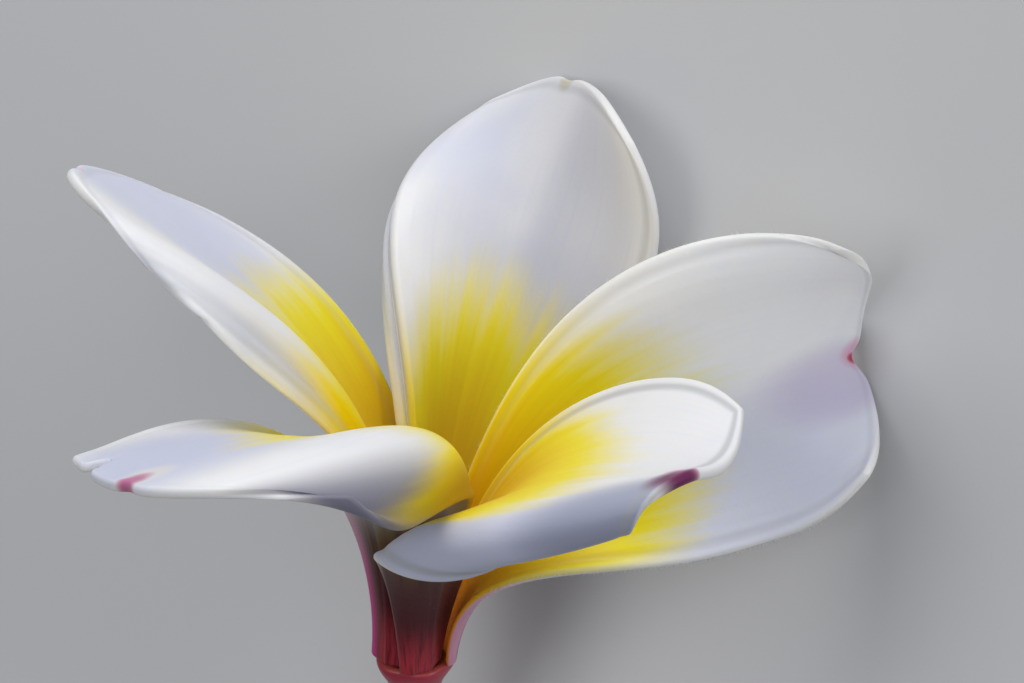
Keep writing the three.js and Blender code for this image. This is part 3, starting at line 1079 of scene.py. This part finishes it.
@dataclass(frozen=True)
class Studio:
    """Pale floor, soft light and the camera; its sizes are in millimetres and degrees."""

    pose: LyingPose
    tilt: float = 30.0
    distance: float = 300.0
    pixel: float = 0.08
    centre: tuple[float, float] = (97.0, 313.5)
    image_width: int = 1024
    film_width: float = 36.0
    floor_half: float = 2500.0
    floor_drop: float = 0.05
    floor_colour: Colour = (0.58, 0.59, 0.61)
    sky_colour: Colour = (0.80, 0.84, 0.92)
    sky_strength: float = 0.14

    def floor(self) -> None:
        """Broad pale floor just under the flower."""
        corners = np.array([[-1, -1, 0], [1, -1, 0], [1, 1, 0], [-1, 1, 0]]) * self.floor_half
        corners[:, 2] = -self.floor_drop
        piece = make_object("floor", corners * METRES, [np.array([[0, 1, 2, 3]])])
        piece.data.materials.append(Paint("floor").coat(self.floor_colour, 0.75))

    def light(self) -> None:
        """Key from beyond the open side, a side lamp, soft fills from front and top, and sky."""
        for lamp in LAMPS:
            lamp.build()
        world = bpy.data.worlds.new("studio")
        world.use_nodes = True
        sky = world.node_tree.nodes["Background"]
        sky.inputs["Color"].default_value = (*self.sky_colour, 1.0)
        sky.inputs["Strength"].default_value = self.sky_strength
        bpy.context.scene.world = world

    def camera(self) -> None:
        """Camera that looks at the flower from a fixed tilt above its equator.

        It is set in the upright flower's frame, as far away as makes one pixel of the named
        size at the tube's mouth, and then laid down with the flower.
        """
        tilt = math.radians(self.tilt)
        right = Vector((1.0, 0.0, 0.0))
        up = Vector((0.0, math.sin(tilt), math.cos(tilt)))
        back = Vector((0.0, -math.cos(tilt), math.sin(tilt)))
        middle = right * self.centre[0] * self.pixel + up * self.centre[1] * self.pixel
        spot = middle + back * self.distance
        local = Matrix.Identity(4)
        for column, axis in enumerate((right, up, back, spot)):
            for row in range(3):
                local[row][column] = axis[row]
        world = self.pose.matrix() @ local
        world.translation *= METRES
        data = bpy.data.cameras.new("camera")
        data.sensor_width = self.film_width
        data.lens = self.film_width * self.distance / (self.pixel * self.image_width)
        data.clip_start = 0.01
        data.clip_end = 20.0
        camera = bpy.data.objects.new("camera", data)
        bpy.context.scene.collection.objects.link(camera)
        camera.matrix_world = world
        bpy.context.scene.camera = camera


PETALS = (
    PetalShape(
        name="petal_1",
        azimuth=147,
        length=50.1,
        notches=(Notch(0.0, 0.4, 0.1),),
        lift=(94, 77, 36, 30),
        heading=(11, 32, 30, 13),
        bank=(24, 36, 15, 28),
        inner=HalfShape(
            cup=(55, 76, 18, 53, -8), turn=(0, 174, 96, 11), turn_from=0.53, turn_to=0.78,
            fullness=2.0, shoulder=0.24, width=0.99,
        ),
        outer=HalfShape(
            cup=(51, 99, 53, 13, 8), fullness=0.75, shoulder=0.15, width=1.02,
        ),
    ),
    PetalShape(
        name="petal_2",
        azimuth=75,
        length=47.9,
        notches=(Notch(0.0, 0.3, 0.1),),
        lift=(73, 48, 37, 43),
        heading=(0, -4, 0, -27),
        bank=(18, 66, 32, -23),
        inner=HalfShape(
            cup=(51, 66, 17, -8, -3), turn=(0, 94, 189, 120), turn_from=0.59, fullness=1.89,
            shoulder=0.18, width=0.92,
        ),
        outer=HalfShape(
            cup=(49, 41, 19, 22, 28), fullness=1.51, shoulder=0.11, width=0.99,
        ),
    ),
    PetalShape(
        name="petal_3",
        azimuth=3,
        length=50.0,
        notches=(Notch(0.0, 2.4, 0.12),),
        lift=(84, 48, 23, -33),
        heading=(5, -29, -1, 61),
        bank=(21, 27, 102, 65),
        inner=HalfShape(
            cup=(54, 48, 10, 3, 73), turn=(0, 23, 39, 70), turn_from=0.54, fullness=1.64,
            shoulder=0.15, width=0.93,
        ),
        outer=HalfShape(
            cup=(53, 79, -7, -20, 68), fullness=0.99, shoulder=0.14, width=0.96,
        ),
    ),
    PetalShape(
        name="petal_4",
        azimuth=-69,
        length=51.5,
        notches=(Notch(0.0, 0.3, 0.1),),
        lift=(82, 47, 35, 18),
        heading=(3, -15, 17, 44),
        bank=(19, -5, 19, -28),
        inner=HalfShape(
            cup=(54, 123, 36, 35, 43), turn=(0, 0, 11, 9), fullness=1.16, shoulder=0.05, width=1.01,
        ),
        outer=HalfShape(
            cup=(50, 115, 21, -42, -60), turn=(0, 0, 211, 208), turn_from=0.38, fullness=1.44,
            shoulder=0.16, width=0.85,
        ),
    ),
    PetalShape(
        name="petal_5",
        azimuth=-141,
        length=53.0,
        notches=(Notch(0.0, 0.4, 0.1), Notch(-0.66, 2.4, 0.07)),
        lift=(97, 65, 23, -2),
        heading=(8, 66, 15, -4),
        bank=(13, -14, 22, 22),
        inner=HalfShape(
            cup=(57, 124, 74, 34, -17), turn=(0, 123, 181, 201, 8), turn_from=0.31, fullness=1.39,
            shoulder=0.17, width=1.16,
        ),
        outer=HalfShape(
            cup=(53, 130, -14, -16, 5), fullness=2.0, shoulder=0.05, width=1.07,
        ),
    ),
)

FOLDS = {
    "petal_1": EdgeFold(0.72, 0.83, 0.035, 0.14, 0.22),
    "petal_2": EdgeFold(0.74, 0.82, 0.028, 0.20, 0.38),
}

HAIR_COUNTS = {Side.INNER: 120, Side.OUTER: 420}

# Painted shade: the lavender and slate colours darken the whites, the darkest is painted shadow,
# the brass yellow is yellow darkened as painted shade, and the lilac is partly the petal's own
# flush and partly painted shade. Purple, crimson and pink are the petals' own marks.
LAVENDER_SHADE = (0.58, 0.62, 0.82)
SLATE_SHADE = (0.34, 0.37, 0.50)
SHADOW = (0.13, 0.13, 0.20)
LILAC_AND_SHADE = (0.50, 0.40, 0.66)
SHADED_YELLOW = (0.40, 0.28, 0.002)
PURPLE = (0.15, 0.015, 0.09)
CRIMSON = (0.50, 0.02, 0.08)
PINK = (0.72, 0.30, 0.48)
FINISHES = {
    "petal_1": PetalFinish(
        "petal_back_left",
        painted_shades=(
            Spot(0.86, -0.35, 0.40, 0.8, 0.7, LAVENDER_SHADE),
            Spot(0.70, 0.85, 0.50, 0.10, 0.25, SLATE_SHADE),
        ),
        marks=(Spot(1.0, 0.0, 0.02, 0.1, 0.4, PINK),),
        reach=0.64,
        outer_drop=0.06,
        lip=0.2,
    ),
    "petal_2": PetalFinish(
        "petal_back",
        painted_shades=(
            Spot(0.82, 0.05, 0.38, 0.7, 0.30, SLATE_SHADE),
            Spot(0.72, -0.50, 0.42, 0.45, 0.45, SLATE_SHADE),
            Spot(0.55, 0.82, 0.45, 0.06, 0.4, SLATE_SHADE),
        ),
        # Painted shadow: an olive-brown spot at the rolled apex.
        marks=(Spot(1.0, 0.0, 0.03, 0.12, 0.5, (0.42, 0.36, 0.16)),),
        reach=0.585,
        inner_drop=0.30,
        streak=0.08,
        groove=0.35,
    ),
    "petal_3": PetalFinish(
        "petal_right",
        painted_shades=(Spot(0.70, -0.65, 0.60, 0.75, 0.55, LAVENDER_SHADE),),
        marks=(
            # Partly the petal's own lilac flush by the nick, partly painted shade.
            Spot(0.94, -0.15, 0.24, 0.34, 0.5, LILAC_AND_SHADE),
            Spot(1.0, 0.03, 0.07, 0.16, 0.7, PINK),
            Spot(1.0, -0.01, 0.035, 0.06, 1.0, CRIMSON),
        ),
        lip=0.6,
        groove=0.22,
        # Painted light: this petal's white and cool are brighter than the others', standing in for
        # light shining through it.
        white=(0.94, 0.94, 0.95),
        cool=(0.86, 0.87, 0.93),
    ),
    "petal_4": PetalFinish(
        "petal_front_right",
        painted_shades=(
            Spot(0.75, -0.80, 0.60, 0.50, 0.9, LAVENDER_SHADE),
            Spot(0.96, -0.55, 0.22, 0.40, 0.9, SLATE_SHADE),
        ),
        marks=(
            Spot(0.99, -0.12, 0.04, 0.10, 0.8, PINK),
            Spot(1.0, -0.26, 0.055, 0.22, 1.0, PURPLE),
        ),
        reach=0.80,
        inner_drop=0.34,
        outer_drop=10.0,
        outer_power=6.0,
        blush=0.25,
        claw_reach=0.5,
        claw_spread=1.3,
        lip=0.5,
        groove=0.6,
    ),
    "petal_5": PetalFinish(
        "petal_front_left",
        painted_shades=(
            Spot(0.92, -0.30, 0.40, 0.8, 0.9, LAVENDER_SHADE),
            Spot(0.95, 1.0, 0.6, 0.42, 0.9, SHADOW),
        ),
        marks=(
            Spot(0.97, 0.0, 0.06, 0.18, 0.5, (0.88, 0.84, 0.72)),
            Spot(1.0, 0.0, 0.05, 0.13, 0.9, (0.50, 0.10, 0.28)),
            # Painted shadow at the rolled flap's margin, and painted shade as darkened yellow along
            # its middle.
            Spot(1.0, 1.0, 0.30, 0.20, 0.92, SHADOW),
            Spot(0.50, 1.0, 0.46, 0.30, 0.85, SHADED_YELLOW),
        ),
        reach=0.765,
        inner_drop=0.48,
        edge_rise=0.80,
        outer_drop=0.30,
        outer_power=1.0,
        blush=1.0,
        claw_reach=0.42,
        claw_spread=0.6,
        lip=0.2,
        groove=0.0,
    ),
}


def build_flower() -> None:
    """Build each sub-assembly of the flower and its studio, in order."""
    pose = LyingPose()
    studio = Studio(pose)
    studio.camera()
    for shape in PETALS:
        surface = PetalSurface(shape)
        PetalBlade(surface, FINISHES[shape.name], pose, FOLDS.get(shape.name)).build()
        if shape.name == "petal_3":
            for side, count in HAIR_COUNTS.items():
                MarginHairs(surface, side, pose, count).build()
            ApexBead(surface, pose).build()
    CorollaTube(pose).build()
    CalyxCup(pose).build()
    CutStalk(pose).build()
    studio.floor()
    studio.light()
    bpy.context.scene.view_settings.view_transform = "Standard"


def main() -> None:
    """Build the scene and log each piece's face count."""
    logging.basicConfig(level=logging.INFO, format="%(name)s: %(message)s")
    build_flower()


if __name__ == "__main__":
    main()
